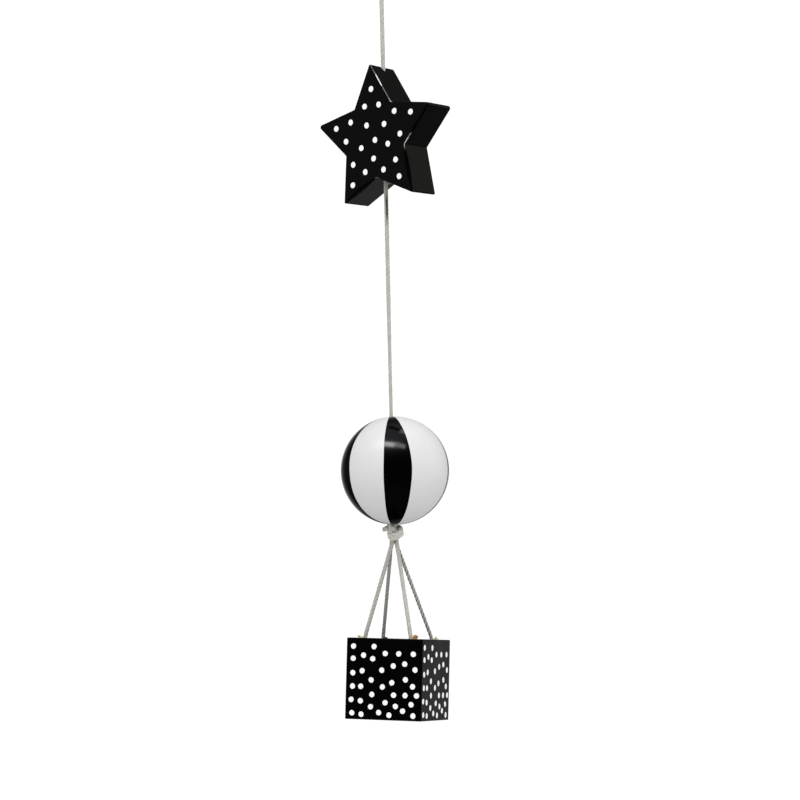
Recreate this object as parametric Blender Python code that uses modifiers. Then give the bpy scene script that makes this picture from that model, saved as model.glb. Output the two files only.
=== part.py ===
"""One hanging strand of a baby mobile: a star, a ball and a balloon basket of painted wood, on a cotton cord.

The hook that holds the strand is at the origin, inside the crown of the cord's loop, with the rest below it.
The basket's faces look along the axes, its front one towards -Y. Lengths are in metres.
"""

import math

import bmesh
import bpy
from mathutils import Matrix, Vector

# Driving dimensions.
GAP = 0.0003  # between pieces that touch

CORD_DIAMETER = 0.0017
CORD_SIDES_RESOLUTION = 2
CORD_POINT_SPACING = 2.5 * CORD_DIAMETER

LOOP_LENGTH = 0.029  # from the hook down to the loop's knot
LOOP_WIDTH_FACTOR = 0.0076
LOOP_TAPER = 1.2
LOOP_LEG_HALF_SPACING = 0.00102
LOOP_POINTS = 33

LOOP_KNOT_HEIGHT = 0.007
LOOP_KNOT_WIDTH = 0.0072
LOOP_KNOT_DEPTH = 0.0058

STAR_TIP_RADII = (0.0353, 0.0354, 0.0349, 0.0355, 0.0357)  # from the top one leftwards: it is sawn by hand
STAR_NOTCH_RADIUS = 0.0186
STAR_THICKNESS = 0.017
STAR_CENTRE_Z = -0.1095
STAR_OFF_CENTRE = (0.0004, 0.0001)  # its drilled hole misses its middle by this much
STAR_TURN = math.radians(-18.5)
STAR_LEAN = math.radians(2.0)  # the hole is a little askew too, so the star's top leans forward
STAR_TILT = math.radians(-1.2)
STAR_TIP_ROUNDING = 0.0009
STAR_NOTCH_ROUNDING = 0.0012
STAR_CORNER_STEPS = 3
STAR_EDGE = 0.0005
STAR_EDGE_ANGLE = math.radians(70)  # it eases the front and back rims, not the corners of the outline
STAR_BORE_DIAMETER = 0.0029

BALL_DIAMETER = 0.050
BALL_CENTRE_Z = -0.264
BALL_OFF_CENTRE = (0.0011, 0.0004)  # the drilled hole misses the ball's centre by this much
BALL_BORE_DIAMETER = 0.0026
BALL_SEGMENTS = 40
BALL_RINGS = 24

GATHER_KNOT_HEIGHT = 0.0067
GATHER_KNOT_WIDTH = 0.0084
GATHER_KNOT_DEPTH = 0.0070

KNOT_CORE_SHARE = 0.92  # of the knot's width and depth
KNOT_WRAP_RADIUS = 0.62 * CORD_DIAMETER
KNOT_WRAP_BURIED = 0.1 * KNOT_WRAP_RADIUS
KNOT_WRAP_TILTS = (math.radians(38), math.radians(-34))
KNOT_WRAP_TURN = math.radians(12)
CUT_END_LENGTH = 0.0034
CUT_END_PROUD = 0.0004
CUT_END_RISE = 0.12  # of the knot's height

BASKET_SIDE = 0.0367
BASKET_CENTRE = (0.0004, 0, -0.3594)
BASKET_LEAN = math.radians(-1.7)  # the four strings are not quite equal
BASKET_TILT = math.radians(2.3)
BASKET_EDGE = 0.0004

STRING_START_HALF_SPACING = 0.00102
STRING_START_TURN = math.radians(33)  # the four leave the knot a little twisted round each other
STRING_BEND_LENGTH = 0.003
STRING_BEND_STEPS = 5
HOLE_RADIUS = 0.0022
HOLE_DEPTH = 0.008
STRING_OFFSET_IN_HOLE = 0.0010
STRING_DEPTH_IN_HOLE = HOLE_DEPTH - GAP

PEG_RADIUS = HOLE_RADIUS - GAP
PEG_FLAT_OFFSET = 0.00015
PEG_FOOT_SHARE = 0.9  # of its radius, because it narrows downwards
PEG_SLANT = 0.0004
PEG_SLANT_SLOPE = (0.35, 0.25)
# For each string: its hole's place on the basket's top, the side of it that its peg is on, and how far that
# stands out.
STRINGS = (
    ((-0.0128, -0.0129), -1, 0.0011),
    ((-0.0119, 0.0129), 1, 0.0),
    ((0.0117, -0.0129), 1, 0.0020),
    ((0.0124, 0.0129), 1, 0.0012),
)

# Worked out from those.
LOOP_KNOT_CENTRE_Z = -LOOP_LENGTH - GAP - LOOP_KNOT_HEIGHT / 2
LOOP_KNOT_BOTTOM_Z = LOOP_KNOT_CENTRE_Z - LOOP_KNOT_HEIGHT / 2
BALL_BOTTOM_Z = BALL_CENTRE_Z - math.sqrt((BALL_DIAMETER / 2) ** 2 - Vector(BALL_OFF_CENTRE).length_squared)
GATHER_KNOT_CENTRE_Z = BALL_BOTTOM_Z - GAP - GATHER_KNOT_HEIGHT / 2
GATHER_KNOT_BOTTOM_Z = GATHER_KNOT_CENTRE_Z - GATHER_KNOT_HEIGHT / 2

# Colours are linear red, green, blue and alpha.
BLACK_LACQUER = ("black_lacquer", (0.012, 0.013, 0.012, 1.0), 0.28)
WHITE_LACQUER = ("white_lacquer", (0.80, 0.80, 0.80, 1.0), 0.30)
COTTON = ("cotton_cord", (0.66, 0.65, 0.60, 1.0), 0.90)
PEG_WOOD = ("peg_wood", (0.72, 0.52, 0.28, 1.0), 0.70)


def clear_scene():
    for obj in list(bpy.data.objects):
        bpy.data.objects.remove(obj, do_unlink=True)


def make_collection(name):
    collection = bpy.data.collections.new(name)
    bpy.context.scene.collection.children.link(collection)
    return collection


def make_material(name, colour, roughness):
    material = bpy.data.materials.new(name)
    material.use_nodes = True
    shader = material.node_tree.nodes["Principled BSDF"]
    shader.inputs["Base Color"].default_value = colour
    shader.inputs["Roughness"].default_value = roughness
    shader.inputs["Metallic"].default_value = 0.0
    material.diffuse_color = colour
    return material


def settle(obj, name, collection):
    """Gives an object its name and moves it to its collection."""
    obj.name = name
    obj.data.name = name
    for other in list(obj.users_collection):
        other.objects.unlink(obj)
    collection.objects.link(obj)
    return obj


def finish_part(obj, name, material, smooth_below=35.0):
    """Puts a part in the mobile's collection, under the hanging point, with its material and shading."""
    settle(obj, name, mobile)
    obj.parent = hanging_point
    obj.data.materials.clear()
    obj.data.materials.append(material)
    if obj.type == "MESH":
        obj.data.shade_smooth()
        obj.data.set_sharp_from_angle(angle=math.radians(smooth_below))
    return obj


def as_helper(obj, name):
    """Marks an object that only shapes another one."""
    settle(obj, name, cutters)
    obj.hide_render = True
    obj.display_type = "WIRE"
    return obj


def join_with(obj, operation, helper):
    modifier = obj.modifiers.new(helper.name, "BOOLEAN")
    modifier.operation = operation
    modifier.object = helper
    modifier.solver = "EXACT"


def cylinder(radius, depth, centre, segments=24):
    bpy.ops.mesh.primitive_cylinder_add(vertices=segments, radius=radius, depth=depth, location=centre)
    return bpy.context.object


def tube(name, points, diameter, material):
    """A round cord along a list of points."""
    curve = bpy.data.curves.new(name, "CURVE")
    curve.dimensions = "3D"
    curve.bevel_depth = diameter / 2
    curve.bevel_resolution = CORD_SIDES_RESOLUTION
    curve.use_fill_caps = True
    spline = curve.splines.new("POLY")
    spline.points.add(len(points) - 1)
    for point, place in zip(spline.points, points):
        point.co = (*place, 1.0)
    obj = bpy.data.objects.new(name, curve)
    bpy.context.scene.collection.objects.link(obj)
    return finish_part(obj, name, material)


def spaced_line(start, end):
    """Points from start to end, about CORD_POINT_SPACING apart."""
    steps = max(1, round((end - start).length / CORD_POINT_SPACING))
    return [start.lerp(end, i / steps) for i in range(steps + 1)]


def make_hanging_loop(material):
    """A drop-shaped loop, round at its crown, where the hook touches its inside, and narrow at its knot."""
    half_length = (LOOP_LENGTH + CORD_DIAMETER / 2) / 2
    middle_z = CORD_DIAMETER / 2 - half_length
    # The legs reach the knot where the drop is still as wide as their spacing.
    first = 0.0
    while drop_half_width(first) < LOOP_LEG_HALF_SPACING:
        first += math.radians(0.5)
    points = []
    for i in range(LOOP_POINTS):
        t = first + (2 * math.pi - 2 * first) * i / (LOOP_POINTS - 1)
        side = 1 if t < math.pi else -1
        points.append(Vector((side * drop_half_width(t), 0, middle_z - half_length * math.cos(t))))
    knot_top = Vector((0, 0, -LOOP_LENGTH))
    points.insert(0, Vector((points[0].x, 0, knot_top.z)))
    points.append(Vector((points[-1].x, 0, knot_top.z)))
    return tube("hanging_loop", points, CORD_DIAMETER, material)


def drop_half_width(t):
    return LOOP_WIDTH_FACTOR * abs(math.sin(t)) * math.sin(t / 2) ** LOOP_TAPER


def knot_wrap(name, ring_radius, tilt, centre):
    """One turn of cord round a knot, as a ring."""
    bpy.ops.mesh.primitive_torus_add(
        major_radius=ring_radius,
        minor_radius=KNOT_WRAP_RADIUS,
        major_segments=20,
        minor_segments=8,
        location=centre,
        rotation=(tilt, 0, KNOT_WRAP_TURN),
    )
    return as_helper(bpy.context.object, name)


def make_knot(name, width, depth, height, centre_z, tail_direction, material):
    """A fat overhand knot: a core, two crossing turns of cord round it and the cord's short cut end."""
    centre = Vector((0, 0, centre_z))
    bpy.ops.mesh.primitive_uv_sphere_add(segments=18, ring_count=12, radius=0.5, location=centre)
    knot = bpy.context.object
    knot.data.transform(Matrix.Diagonal((width * KNOT_CORE_SHARE, depth * KNOT_CORE_SHARE, height, 1)))
    narrow = min(width, depth)
    ring_radius = narrow / 2 - KNOT_WRAP_RADIUS + KNOT_WRAP_BURIED
    for i, tilt in enumerate(KNOT_WRAP_TILTS):
        wrap = knot_wrap(f"{name}_wrap_{i + 1}", ring_radius, tilt, centre)
        wrap.data.transform(Matrix.Diagonal((width / narrow, 1, 1, 1)))
        join_with(knot, "UNION", wrap)
    tail = Vector(tail_direction).normalized()
    tail_centre = centre + tail * (width / 2 + CUT_END_PROUD) + Vector((0, 0, height * CUT_END_RISE))
    bpy.ops.mesh.primitive_cylinder_add(
        vertices=8,
        radius=CORD_DIAMETER / 2,
        depth=CUT_END_LENGTH,
        location=tail_centre,
        rotation=tail.to_track_quat("Z", "Y").to_euler(),
    )
    join_with(knot, "UNION", as_helper(bpy.context.object, f"{name}_cut_end"))
    return finish_part(knot, name, material, smooth_below=60.0)


def star_corner(centre, before, after, rounding):
    """The arc that rounds one corner of the star's outline."""
    into = (before - centre).normalized()
    out = (after - centre).normalized()
    half_angle = into.angle(out) / 2
    reach = rounding / math.tan(half_angle)
    start = centre + into * reach
    end = centre + out * reach
    middle = centre + (into + out).normalized() * rounding / math.sin(half_angle)
    points = []
    for i in range(STAR_CORNER_STEPS + 1):
        spoke = (start - middle).lerp(end - middle, i / STAR_CORNER_STEPS)
        points.append(middle + spoke.normalized() * rounding)
    return points


def star_outline():
    corners = []
    for i in range(2 * len(STAR_TIP_RADII)):
        radius = STAR_NOTCH_RADIUS if i % 2 else STAR_TIP_RADII[i // 2]
        angle = math.pi / 2 + math.pi * i / len(STAR_TIP_RADII)
        corners.append(Vector((radius * math.cos(angle), radius * math.sin(angle))))
    points = []
    for i, corner in enumerate(corners):
        rounding = STAR_NOTCH_ROUNDING if i % 2 else STAR_TIP_ROUNDING
        points += star_corner(corner, corners[i - 1], corners[(i + 1) % len(corners)], rounding)
    return points


def make_star(material):
    """A thick flat star, drilled from its top tip to the notch below."""
    curve = bpy.data.curves.new("star_outline", "CURVE")
    curve.dimensions = "2D"
    curve.fill_mode = "BOTH"
    curve.extrude = STAR_THICKNESS / 2
    outline = star_outline()
    spline = curve.splines.new("POLY")
    spline.points.add(len(outline) - 1)
    for point, place in zip(spline.points, outline):
        point.co = (place.x, place.y, 0, 1)
    spline.use_cyclic_u = True
    flat = bpy.data.objects.new("star_outline", curve)
    bpy.context.scene.collection.objects.link(flat)
    # The outline is drawn lying down, so it's stood up to face -Y.
    flat.rotation_euler = (math.pi / 2, 0, 0)
    bpy.context.view_layer.update()

    mesh = bpy.data.meshes.new_from_object(flat.evaluated_get(bpy.context.evaluated_depsgraph_get()))
    mesh.transform(flat.matrix_world)
    bpy.data.objects.remove(flat, do_unlink=True)
    shape = bmesh.new()
    shape.from_mesh(mesh)
    bmesh.ops.remove_doubles(shape, verts=shape.verts, dist=1e-6)
    bmesh.ops.recalc_face_normals(shape, faces=shape.faces)
    bmesh.ops.dissolve_limit(
        shape, angle_limit=math.radians(1), verts=shape.verts, edges=shape.edges, delimit={"NORMAL"}
    )
    shape.to_mesh(mesh)
    shape.free()
    star = bpy.data.objects.new("star", mesh)
    bpy.context.scene.collection.objects.link(star)
    star.rotation_mode = "YXZ"
    star.rotation_euler = (STAR_LEAN, STAR_TILT, STAR_TURN)
    star.location = (*STAR_OFF_CENTRE, STAR_CENTRE_Z)

    edges = star.modifiers.new("eased_edges", "BEVEL")
    edges.width = STAR_EDGE
    edges.segments = 2
    edges.limit_method = "ANGLE"
    edges.angle_limit = STAR_EDGE_ANGLE
    bore = cylinder(STAR_BORE_DIAMETER / 2, 4 * max(STAR_TIP_RADII), (0, 0, STAR_CENTRE_Z))
    join_with(star, "DIFFERENCE", as_helper(bore, "star_bore"))
    return finish_part(star, "star", material)


def make_ball(material):
    """A turned ball, drilled a little off its centre."""
    centre = (*BALL_OFF_CENTRE, BALL_CENTRE_Z)
    bpy.ops.mesh.primitive_uv_sphere_add(
        segments=BALL_SEGMENTS, ring_count=BALL_RINGS, radius=BALL_DIAMETER / 2, location=centre
    )
    ball = bpy.context.object
    bore = cylinder(BALL_BORE_DIAMETER / 2, 1.2 * BALL_DIAMETER, (0, 0, BALL_CENTRE_Z))
    join_with(ball, "DIFFERENCE", as_helper(bore, "ball_bore"))
    return finish_part(ball, "ball", material, smooth_below=50.0)


def basket_place():
    """Where the basket hangs and how it is turned."""
    tilt = Matrix.Rotation(BASKET_LEAN, 4, "X") @ Matrix.Rotation(BASKET_TILT, 4, "Y")
    return Matrix.Translation(BASKET_CENTRE) @ tilt


def mouth_centre(hole):
    """The middle of a string hole's mouth, in the basket's own frame."""
    return Vector((*hole, BASKET_SIDE / 2))


def make_basket(material):
    """A solid block with a blind hole near each corner of its top."""
    bpy.ops.mesh.primitive_cube_add(size=BASKET_SIDE)
    basket = bpy.context.object
    basket.matrix_world = basket_place()
    edges = basket.modifiers.new("eased_edges", "BEVEL")
    edges.width = BASKET_EDGE
    edges.segments = 2
    for i, (hole, _, _) in enumerate(STRINGS):
        drill = cylinder(HOLE_RADIUS, 2 * HOLE_DEPTH, (0, 0, 0), segments=20)
        drill.matrix_world = basket_place() @ Matrix.Translation(mouth_centre(hole))
        join_with(basket, "DIFFERENCE", as_helper(drill, f"string_hole_{i + 1}"))
    return finish_part(basket, "basket", material)


def string_route(hole, peg_side):
    """From under the gathering knot straight to the hole's mouth, then in an easy bend down into it."""
    mouth = mouth_centre(hole) - Vector((peg_side * STRING_OFFSET_IN_HOLE, 0, 0))
    bottom = mouth - Vector((0, 0, STRING_DEPTH_IN_HOLE))
    mouth, bottom = basket_place() @ mouth, basket_place() @ bottom
    start_x, start_y = (math.copysign(STRING_START_HALF_SPACING, across) for across in hole)
    start = Vector((start_x, start_y, GATHER_KNOT_BOTTOM_Z - GAP))
    start.rotate(Matrix.Rotation(STRING_START_TURN, 3, "Z"))
    bend_start = mouth + (start - mouth).normalized() * STRING_BEND_LENGTH
    bend_end = mouth + (bottom - mouth).normalized() * STRING_BEND_LENGTH
    points = spaced_line(start, bend_start)
    for i in range(1, STRING_BEND_STEPS):
        t = i / STRING_BEND_STEPS
        points.append(bend_start.lerp(mouth, t).lerp(mouth.lerp(bend_end, t), t))
    return points + spaced_line(bend_end, bottom)


def make_peg(number, hole, peg_side, proud, material):
    """Half a dowel, driven in beside the string, with its top cut on a slant."""
    top = proud + PEG_SLANT
    shape = bmesh.new()
    bmesh.ops.create_cone(
        shape,
        cap_ends=True,
        segments=16,
        radius1=PEG_RADIUS * PEG_FOOT_SHARE,
        radius2=PEG_RADIUS,
        depth=STRING_DEPTH_IN_HOLE + top,
        matrix=Matrix.Translation((0, 0, (top - STRING_DEPTH_IN_HOLE) / 2)),
    )
    slope_out, slope_back = PEG_SLANT_SLOPE
    cuts = (
        ((peg_side * PEG_FLAT_OFFSET, 0, 0), (-peg_side, 0, 0)),
        ((peg_side * PEG_RADIUS, 0, proud - PEG_SLANT), (peg_side * slope_out, slope_back, 1)),
    )
    for place, normal in cuts:
        cut = bmesh.ops.bisect_plane(
            shape, geom=shape.verts[:] + shape.edges[:] + shape.faces[:], plane_co=place, plane_no=normal,
            clear_outer=True,
        )
        rim = [item for item in cut["geom_cut"] if isinstance(item, bmesh.types.BMEdge)]
        bmesh.ops.contextual_create(shape, geom=rim)
    bmesh.ops.recalc_face_normals(shape, faces=shape.faces)
    mesh = bpy.data.meshes.new(f"string_peg_{number}")
    shape.to_mesh(mesh)
    shape.free()
    peg = bpy.data.objects.new(mesh.name, mesh)
    bpy.context.scene.collection.objects.link(peg)
    peg.matrix_world = basket_place() @ Matrix.Translation(mouth_centre(hole))
    return finish_part(peg, mesh.name, material)


def make_mobile():
    black = make_material(*BLACK_LACQUER)
    white = make_material(*WHITE_LACQUER)
    cotton = make_material(*COTTON)
    peg_wood = make_material(*PEG_WOOD)

    make_hanging_loop(cotton)
    make_knot(
        "loop_knot",
        LOOP_KNOT_WIDTH,
        LOOP_KNOT_DEPTH,
        LOOP_KNOT_HEIGHT,
        LOOP_KNOT_CENTRE_Z,
        (1, 0.3, 0.1),
        cotton,
    )
    cord_top = Vector((0, 0, LOOP_KNOT_BOTTOM_Z - GAP))
    cord_bottom = Vector((0, 0, BALL_BOTTOM_Z))
    tube("main_cord", spaced_line(cord_top, cord_bottom), CORD_DIAMETER, cotton)
    make_star(black)
    make_ball(white)
    make_knot(
        "gather_knot",
        GATHER_KNOT_WIDTH,
        GATHER_KNOT_DEPTH,
        GATHER_KNOT_HEIGHT,
        GATHER_KNOT_CENTRE_Z,
        (-1, -0.4, -0.1),
        cotton,
    )
    make_basket(black)
    for number, (hole, peg_side, proud) in enumerate(STRINGS, start=1):
        tube(f"basket_string_{number}", string_route(hole, peg_side), CORD_DIAMETER, cotton)
        make_peg(number, hole, peg_side, proud, peg_wood)


clear_scene()
mobile = make_collection("baby_mobile")
cutters = make_collection("cutters")
hanging_point = bpy.data.objects.new("hanging_point", None)
mobile.objects.link(hanging_point)
make_mobile()
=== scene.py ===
"""The looks of one strand of a baby mobile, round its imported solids: a star, a ball and a balloon basket.

Lengths are in metres unless a name or comment says otherwise. The hook is at the origin, and the strand hangs
down along Z.
"""

import math
import random

import bmesh
import bpy
import numpy as np
from mathutils import Matrix, Vector, geometry


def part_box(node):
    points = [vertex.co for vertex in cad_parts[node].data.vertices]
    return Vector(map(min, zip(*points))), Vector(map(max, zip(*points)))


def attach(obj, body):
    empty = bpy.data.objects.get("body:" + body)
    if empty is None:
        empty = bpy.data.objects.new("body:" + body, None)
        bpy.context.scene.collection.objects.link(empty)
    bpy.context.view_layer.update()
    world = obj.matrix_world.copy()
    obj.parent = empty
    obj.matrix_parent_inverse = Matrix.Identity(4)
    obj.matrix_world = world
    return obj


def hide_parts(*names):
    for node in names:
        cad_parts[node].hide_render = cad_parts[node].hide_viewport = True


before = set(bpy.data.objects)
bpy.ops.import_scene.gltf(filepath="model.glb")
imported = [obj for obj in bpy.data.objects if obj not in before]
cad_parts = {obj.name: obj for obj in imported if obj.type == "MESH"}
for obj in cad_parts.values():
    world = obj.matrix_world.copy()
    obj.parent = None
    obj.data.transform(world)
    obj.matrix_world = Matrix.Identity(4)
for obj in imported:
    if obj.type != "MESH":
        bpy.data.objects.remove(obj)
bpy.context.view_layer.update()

MM = 0.001
GAP = 0.0003  # between solids that would touch


def placed(place, *turns):
    """A matrix that turns a thing by each (degrees, axis), the last one first, and puts it in place."""
    matrix = Matrix.Translation(place)
    for degrees, axis in turns:
        matrix = matrix @ Matrix.Rotation(math.radians(degrees), 4, axis)
    return matrix


def up(z):
    return Vector((0, 0, z))


def put(thing, **values):
    for name, value in values.items():
        setattr(thing, name, value)


# The cord and its route, as the CAD part has them, and its twist.
CORD_DIAMETER = 0.0017
CORD_RADIUS = CORD_DIAMETER / 2
CORD_LAY = 0.0063  # one full turn of its three plies
CORD_SWELLS = ((0.0, 0.97), (0.33, 0.97), (0.40, 1.15), (1.0, 1.21))  # (share of the way up, thickness)
CORD_GROOVE = 0.08  # how deep the plies' grooves are, as a share of the radius
CORD_STEPS = 60
LOOP_GROOVE = 0.12
KNOT_GROOVE = 0.16
LOOP_LENGTH = 0.029
LOOP_WIDTH_FACTOR = 0.0076
LOOP_TAPER = 1.2
LOOP_LEG_HALF_SPACING = 0.00102
LOOP_STEPS = 160
LOOP_IN_KNOT = 0.0012  # how far its legs run on into the knot
LOOP_KNOT_TOP_Z = -LOOP_LENGTH - GAP
LOOP_KNOT_BOTTOM_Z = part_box("loop_knot")[0].z
GATHER_KNOT_BOTTOM_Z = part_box("gather_knot")[0].z
STRING_START_HALF_SPACING = 0.00102
STRING_START_TURN = math.radians(33)
STRING_TOGETHER = 0.0008  # how far they run down together from the knot
STRING_BEND_LENGTH = 0.003
STRING_BEND_STEPS = 12
STRING_IN_KNOT = 0.0028
HOLE_RADIUS = 0.0022
HOLE_DEPTH = 0.008
STRING_OFFSET_IN_HOLE = 0.0010

# The star.
STAR_TIP_RADII = (0.0353, 0.0354, 0.0349, 0.0355, 0.0357)  # from the top one leftwards
STAR_NOTCH_RADII = (0.0187, 0.0186, 0.0186, 0.0186, 0.0190)
STAR_THICKNESS = 0.017
STAR_PLACE = placed((0.0004, 0.0001, -0.1095), (-18.5, "Z"), (2.0, "X"), (-1.2, "Y"))
STAR_TIP_ROUNDINGS = (  # of each tip at the front face and at the back one
    (0.0007, 0.0010), (0.0012, 0.0012), (0.0006, 0.0006), (0.0006, 0.0007), (0.0010, 0.0012),
)
STAR_NOTCH_ROUNDING = 0.0007
STAR_EDGE = 0.0005
# How much more the front rim is rounded half way along each side, from the top tip leftwards.
STAR_EDGE_SWELLS = (0, 0, 0, 0, 0.0013, 0, 0.0013, 0.0005, 0, 0)
STAR_BORE_RADIUS = 0.00145
STAR_MOUTH_RADII = (0.0013, 0.0025)  # of the worn top of the bore, at its depth and at the ridge
STAR_MOUTH_DEPTH = 0.0028
STAR_CHIP_PLACE = Vector((-0.0020, 0.0042, -0.0196))  # behind the bore's lower mouth
STAR_CHIP_RADII = (0.0004, 0.0030)
STAR_CHIP_OUT = Vector((0.454, 0, -0.891)) * 0.0010  # its depth, square to the underside
STAR_DOT_RADIUS = 0.00138

# The ball.
BALL_RADIUS = 0.025
BALL_CENTRE = (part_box("ball")[0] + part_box("ball")[1]) / 2
BALL_BORE_RADIUS = 0.0013
BALL_RIM = 0.00025
# Where the four black gores start and end, by turns: degrees round the cord at mid height, from the camera's
# side to the right, how many more at the top and at the bottom, and how many mm the edge keeps outside a
# straight line to the bore, at the bottom and at the top.
GORE_EDGES = (
    (-9.3, 1.0, -2.2, 0.9, 0.3),
    (20.2, -5.8, -0.8, 1.0, 0.3),
    (75.5, 1.0, 1.0, 1.4, 0.4),
    (107.0, 0.0, 1.0, 1.4, 0.4),
    (165.5, -1.5, 0.0, 1.4, 0.4),
    (195.5, 0.0, 2.0, 1.4, 0.4),
    (267.0, 0.0, 1.0, 1.4, 0.4),
    (305.6, -4.6, -8.0, 1.3, 0.4),
)

# The basket.
BASKET_SIDE = 0.0367
BASKET_EDGE = 0.0004
BASKET_PLACE = placed((0.0004, 0, -0.3594), (-1.7, "X"), (2.3, "Y"))
BASKET_DOT_RADII = (0.00124, 0.00130, 0.00125, 0.00127)  # of the print on its front, right, back and left

# The camera, which looks a little up at the strand, with a slight roll.
CAMERA_AZIMUTH = math.radians(20.95)
CAMERA_DISTANCE = 1.1046
CAMERA_Z = -0.3267
CAMERA_PITCH_DEGREES = 4.93
CAMERA_PAN_DEGREES = -0.22
CAMERA_ROLL_DEGREES = -1.35
CAMERA_LENS_MM = 108.0
CAMERA_SENSOR_MM = 36.0

FLOOR_Z = -0.78
FLOOR_RADIUS = 4.2


# ------ shader building

class Nodes:
    """A short way to write a node tree."""

    def __init__(self, tree):
        self.tree = tree

    def feed(self, node, inputs):
        """Sets a node's inputs, each to a value or to what another node gives."""
        for name, value in inputs.items():
            if isinstance(value, bpy.types.NodeSocket):
                self.tree.links.new(value, node.inputs[name])
            else:
                node.inputs[name].default_value = value

    def add(self, kind, inputs=None, **settings):
        node = self.tree.nodes.new(kind)
        put(node, **settings)
        self.feed(node, inputs or {})
        return node

    def math(self, operation, first, second, clamp=False):
        inputs = {0: first, 1: second}
        return self.add("ShaderNodeMath", inputs, operation=operation, use_clamp=clamp).outputs[0]

    def noise(self, vector, scale, detail, roughness=0.5):
        """Noise, as fine as scale says, along each axis when there are three."""
        if isinstance(scale, tuple):
            vector = self.add("ShaderNodeMapping", {"Vector": vector, "Scale": scale}).outputs[0]
            scale = 1.0
        inputs = {"Vector": vector, "Scale": scale, "Detail": detail, "Roughness": roughness}
        return self.add("ShaderNodeTexNoise", inputs).outputs["Fac"]

    def painted(self, name):
        """What a mesh's attribute says."""
        return self.add("ShaderNodeAttribute", attribute_name=name).outputs["Fac"]

    def span(self, value, low, high, to_low=0.0, to_high=1.0):
        """value, carried from low..high to to_low..to_high and held at the ends."""
        inputs = {"Value": value, "From Min": low, "From Max": high, "To Min": to_low, "To Max": to_high}
        return self.add("ShaderNodeMapRange", inputs).outputs[0]

    def mix(self, factor, first, second):
        """A colour between two. Sockets 6, 7 and 2 are the node's colour ones."""
        return self.add("ShaderNodeMix", {"Factor": factor, 6: first, 7: second}, data_type="RGBA").outputs[2]

    def ramp(self, value, stops):
        """A grey that goes straight from each (value, grey) stop to the next."""
        low, high = stops[0][0], stops[-1][0]
        node = self.add("ShaderNodeValToRGB", {"Fac": self.span(value, low, high)})
        elements = node.color_ramp.elements
        for place, grey in stops:
            share = (place - low) / (high - low)
            element = elements[0] if share == 0 else elements[-1] if share == 1 else elements.new(share)
            element.color = (grey, grey, grey, 1)
        return node.outputs["Color"]

    def bump(self, height, distance, **onto):
        return self.add("ShaderNodeBump", {"Height": height, "Distance": distance, **onto}).outputs[0]


def new_material(name):
    """A material, its nodes, its Principled shader and the object-space position."""
    material = bpy.data.materials.new(name)
    material.use_nodes = True
    nodes = Nodes(material.node_tree)
    shader = material.node_tree.nodes["Principled BSDF"]
    place = nodes.add("ShaderNodeTexCoord").outputs["Object"]
    return material, nodes, shader, place


def make_lacquer(name, colour, highlight_colour, roughness, specular, mottle=0.1, peel=0.000010, wave=0.0):
    """Sprayed gloss paint, with a painted highlight of pale matte paint where the mesh's attribute for it
    says so: a fine skin over grain, on faces that wave.
    """
    material, nodes, shader, place = new_material(name)
    dark, light = ([c * (1 + change) for c in colour] + [1] for change in (-mottle, mottle))
    paint = nodes.mix(nodes.span(nodes.noise(place, 160.0, 3.0), 0.3, 0.7), dark, light)
    patches = nodes.span(nodes.noise(place, 900.0, 3.0), 0.25, 0.55)
    # The painted highlight: pale paint, in patches, where the mesh's attribute says.
    highlit = nodes.math("MULTIPLY", nodes.painted("painted_highlight"), patches, clamp=True)
    gloss = nodes.span(nodes.noise(place, 130.0, 4.0), 0.3, 0.7, roughness * 0.85, roughness * 1.2)
    grain = nodes.noise(place, (900.0, 900.0, 45.0), 3.0, 0.6)
    sanded = nodes.bump(nodes.noise(place, 48.0, 1.0), wave)
    skin = nodes.bump(nodes.noise(place, 1400.0, 2.0), peel, Normal=sanded)
    nodes.feed(shader, {
        "Base Color": nodes.mix(highlit, paint, (*highlight_colour, 1)),
        "Roughness": nodes.math("ADD", gloss, nodes.math("MULTIPLY", highlit, 0.3)),
        "Specular IOR Level": specular,
        "Normal": nodes.bump(grain, peel, Normal=skin),
    })
    return material


def make_cotton(name, tone, crease):
    """Twisted cotton, with painted shade in the creases between its plies and painted shade below the star
    where the mesh says. Its UV goes along the cord in mm and once round.
    """
    material, nodes, shader, _ = new_material(name)
    uv = nodes.add("ShaderNodeUVMap", uv_map="along_and_round").outputs["UV"]
    ply = nodes.math("MULTIPLY", nodes.add("ShaderNodeSeparateXYZ", {"Vector": uv}).outputs["Y"], 3.0)
    across = nodes.math("PINGPONG", ply, 0.5)  # 0 in the crease between two plies, 0.5 on the crown of one
    crown = nodes.span(across, 0.0, 0.22)
    fibre = nodes.noise(uv, (1.3, 46.0, 1.0), 4.0, 0.65)
    patch = nodes.noise(uv, (0.25, 2.0, 1.0), 2.0)
    pale = [c * tone for c in (0.55, 0.537, 0.50)] + [1]
    grey = [c * tone for c in (0.43, 0.417, 0.375)] + [1]
    # Painted shade in the creases between the plies, darker as crease is lower.
    deep = [c * tone * crease for c in (0.40, 0.385, 0.345)] + [1]
    body = nodes.mix(nodes.span(patch, 0.3, 0.7), grey, pale)
    streaked = nodes.mix(nodes.span(fibre, 0.35, 0.75, 0.0, 0.4), body, grey)
    before_star_shade = nodes.mix(crown, deep, streaked)
    nodes.feed(shader, {
        # The near black painted shade below the star, where the mesh's attribute says.
        "Base Color": nodes.mix(nodes.painted("painted_shade"), before_star_shade, (0.018, 0.016, 0.012, 1)),
        "Roughness": 0.92,
        "Specular IOR Level": 0.2,
        "Sheen Weight": 0.2,
        "Sheen Roughness": 0.5,
        "Normal": nodes.bump(fibre, 0.00004),
    })
    return material


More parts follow.
